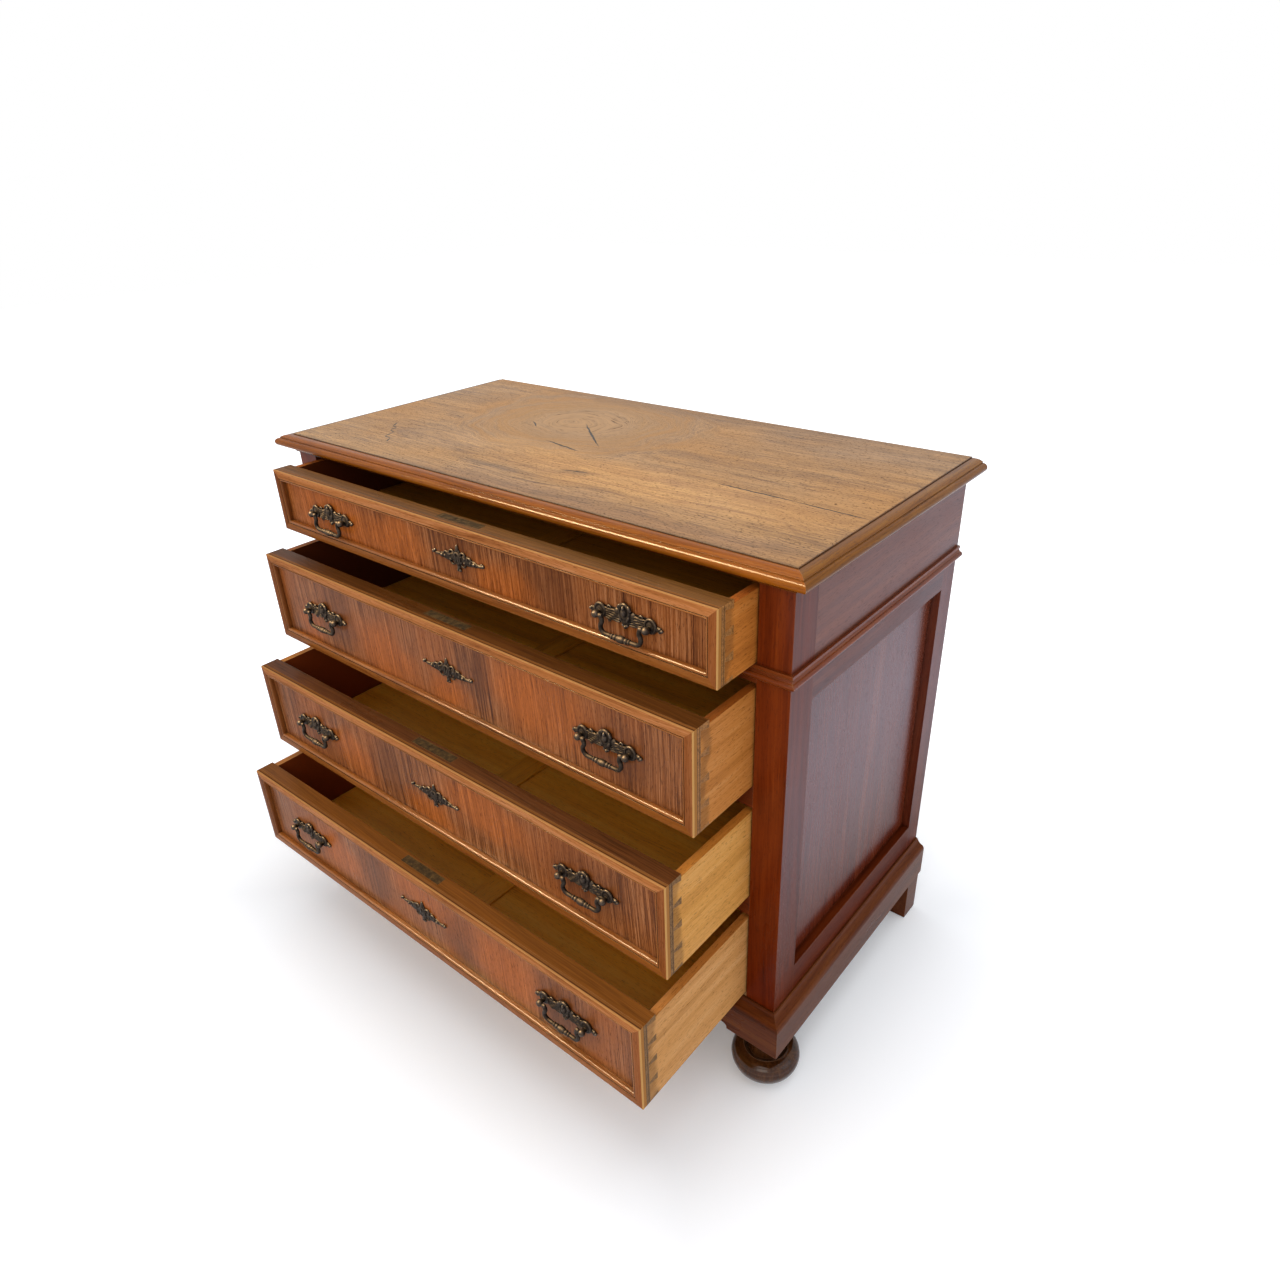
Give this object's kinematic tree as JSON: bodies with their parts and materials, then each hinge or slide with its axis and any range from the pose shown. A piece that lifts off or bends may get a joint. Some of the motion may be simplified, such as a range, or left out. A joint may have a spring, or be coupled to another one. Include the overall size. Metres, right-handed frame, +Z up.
{
  "type": "chest of drawers",
  "caption": "Walnut chest of drawers with a moulded top, panelled sides, plinth on bun feet, and framed drawers with bail handles, escutcheons and locks.",
  "frame": {"origin": "bottom centre of the bounding box with the drawers pulled out as in the rest pose", "axes": "+X to the right seen from the front, +Y to the back, +Z up; the drawer fronts face -Y"},
  "size_m": [1.1236, 0.7926, 0.9385],
  "materials": {
    "walnut_top": "faded satin polish",
    "walnut": "satin polish",
    "walnut_front": "satin polish",
    "drawer_oak": "bare, worn",
    "softwood": "bare, aged",
    "brass": "dark patina",
    "iron": "dull"
  },
  "bodies": {
    "carcass": {"top_board": "walnut_top", "top_moulding": "walnut", "front_posts": "walnut", "rear_posts": "walnut", "side_rails": "walnut", "side_panels": "walnut", "frieze_sides": "walnut", "waist_moulding": "walnut", "front_rails": "walnut", "drawer_runners": "softwood", "drawer_stops": "softwood", "floor_board": "softwood", "back_frame": "softwood", "back_panels": "softwood", "plinth": "walnut", "corner_blocks": "softwood", "bun_feet": "walnut", "rear_feet": "softwood"},
    "drawer_1": {"drawer_1_front": "walnut_front", "drawer_1_frame": "walnut", "drawer_1_box": "drawer_oak", "drawer_1_bottom": "drawer_oak", "drawer_1_lock": "iron", "drawer_1_escutcheon": "brass", "drawer_1_handle_plates": "brass"},
    "drawer_1_bail_left": {"drawer_1_bail_left": "brass"},
    "drawer_1_bail_right": {"drawer_1_bail_right": "brass"},
    "drawer_1_lock_bolt": {"drawer_1_lock_bolt": "iron"},
    "drawer_2": {"drawer_2_front": "walnut_front", "drawer_2_frame": "walnut", "drawer_2_box": "drawer_oak", "drawer_2_bottom": "drawer_oak", "drawer_2_lock": "iron", "drawer_2_escutcheon": "brass", "drawer_2_handle_plates": "brass"},
    "drawer_2_bail_left": {"drawer_2_bail_left": "brass"},
    "drawer_2_bail_right": {"drawer_2_bail_right": "brass"},
    "drawer_2_lock_bolt": {"drawer_2_lock_bolt": "iron"},
    "drawer_3": {"drawer_3_front": "walnut_front", "drawer_3_frame": "walnut", "drawer_3_box": "drawer_oak", "drawer_3_bottom": "drawer_oak", "drawer_3_lock": "iron", "drawer_3_escutcheon": "brass", "drawer_3_handle_plates": "brass"},
    "drawer_3_bail_left": {"drawer_3_bail_left": "brass"},
    "drawer_3_bail_right": {"drawer_3_bail_right": "brass"},
    "drawer_3_lock_bolt": {"drawer_3_lock_bolt": "iron"},
    "drawer_4": {"drawer_4_front": "walnut_front", "drawer_4_frame": "walnut", "drawer_4_box": "drawer_oak", "drawer_4_bottom": "drawer_oak", "drawer_4_lock": "iron", "drawer_4_escutcheon": "brass", "drawer_4_handle_plates": "brass"},
    "drawer_4_bail_left": {"drawer_4_bail_left": "brass"},
    "drawer_4_bail_right": {"drawer_4_bail_right": "brass"},
    "drawer_4_lock_bolt": {"drawer_4_lock_bolt": "iron"}
  },
  "joints": [
    {"name": "drawer_1_slide", "type": "slide", "parent": "carcass", "child": "drawer_1", "axis": [0, -1, 0], "range_m": [-0.088, 0.272]},
    {"name": "drawer_1_bail_left_swing", "type": "hinge", "parent": "drawer_1", "child": "drawer_1_bail_left", "pos_m": [-0.33, -0.21775, 0.8421], "axis": [-1, 0, 0], "range_deg": [-15, 140]},
    {"name": "drawer_1_bail_right_swing", "type": "hinge", "parent": "drawer_1", "child": "drawer_1_bail_right", "pos_m": [0.33, -0.21775, 0.8421], "axis": [-1, 0, 0], "range_deg": [-15, 140]},
    {"name": "drawer_1_lock_bolt_throw", "type": "slide", "parent": "drawer_1", "child": "drawer_1_lock_bolt", "axis": [0, 0, 1], "range_m": [0, 0.008]},
    {"name": "drawer_2_slide", "type": "slide", "parent": "carcass", "child": "drawer_2", "axis": [0, -1, 0], "range_m": [-0.138, 0.222]},
    {"name": "drawer_2_bail_left_swing", "type": "hinge", "parent": "drawer_2", "child": "drawer_2_bail_left", "pos_m": [-0.33, -0.26775, 0.6748], "axis": [-1, 0, 0], "range_deg": [-15, 140]},
    {"name": "drawer_2_bail_right_swing", "type": "hinge", "parent": "drawer_2", "child": "drawer_2_bail_right", "pos_m": [0.33, -0.26775, 0.6748], "axis": [-1, 0, 0], "range_deg": [-15, 140]},
    {"name": "drawer_2_lock_bolt_throw", "type": "slide", "parent": "drawer_2", "child": "drawer_2_lock_bolt", "axis": [0, 0, 1], "range_m": [0, 0.008]},
    {"name": "drawer_3_slide", "type": "slide", "parent": "carcass", "child": "drawer_3", "axis": [0, -1, 0], "range_m": [-0.1995, 0.1605]},
    {"name": "drawer_3_bail_left_swing", "type": "hinge", "parent": "drawer_3", "child": "drawer_3_bail_left", "pos_m": [-0.33, -0.32925, 0.4698], "axis": [-1, 0, 0], "range_deg": [-15, 140]},
    {"name": "drawer_3_bail_right_swing", "type": "hinge", "parent": "drawer_3", "child": "drawer_3_bail_right", "pos_m": [0.33, -0.32925, 0.4698], "axis": [-1, 0, 0], "range_deg": [-15, 140]},
    {"name": "drawer_3_lock_bolt_throw", "type": "slide", "parent": "drawer_3", "child": "drawer_3_lock_bolt", "axis": [0, 0, 1], "range_m": [0, 0.008]},
    {"name": "drawer_4_slide", "type": "slide", "parent": "carcass", "child": "drawer_4", "axis": [0, -1, 0], "range_m": [-0.261, 0.099]},
    {"name": "drawer_4_bail_left_swing", "type": "hinge", "parent": "drawer_4", "child": "drawer_4_bail_left", "pos_m": [-0.33, -0.39075, 0.2648], "axis": [-1, 0, 0], "range_deg": [-15, 140]},
    {"name": "drawer_4_bail_right_swing", "type": "hinge", "parent": "drawer_4", "child": "drawer_4_bail_right", "pos_m": [0.33, -0.39075, 0.2648], "axis": [-1, 0, 0], "range_deg": [-15, 140]},
    {"name": "drawer_4_lock_bolt_throw", "type": "slide", "parent": "drawer_4", "child": "drawer_4_lock_bolt", "axis": [0, 0, 1], "range_m": [0, 0.008]}
  ]
}
